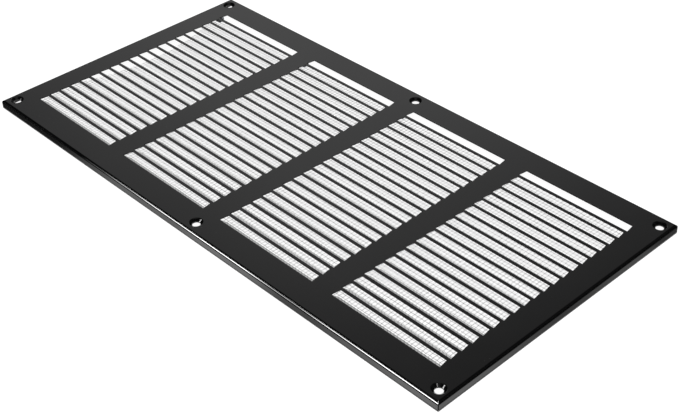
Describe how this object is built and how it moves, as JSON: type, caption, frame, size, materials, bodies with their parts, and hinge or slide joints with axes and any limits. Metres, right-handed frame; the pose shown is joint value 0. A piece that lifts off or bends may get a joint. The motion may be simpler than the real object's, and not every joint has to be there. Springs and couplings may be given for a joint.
{
  "type": "return air grille",
  "caption": "Flat rectangular pressed-steel return air grille: lanced louvres in side-by-side panels, folded edges, dimpled screw holes, woven insect screen behind.",
  "frame": {"origin": "centre of the rear rim's plane, on the surface that the grille lies on", "axes": "+X along the face, +Y across it from the louvres' hinge side to their free side, +Z out of the front"},
  "size_m": [0.4064, 0.2032, 0.0059],
  "materials": {
    "black_paint": "smooth gloss black paint on sheet steel",
    "screen_wire": "bright drawn wire, plain weave",
    "bare_steel": "galvanised strip with spot-weld marks"
  },
  "bodies": {
    "root": {"front_plate": "black_paint", "insect_screen": "screen_wire", "screen_clips": "bare_steel"}
  },
  "joints": []
}
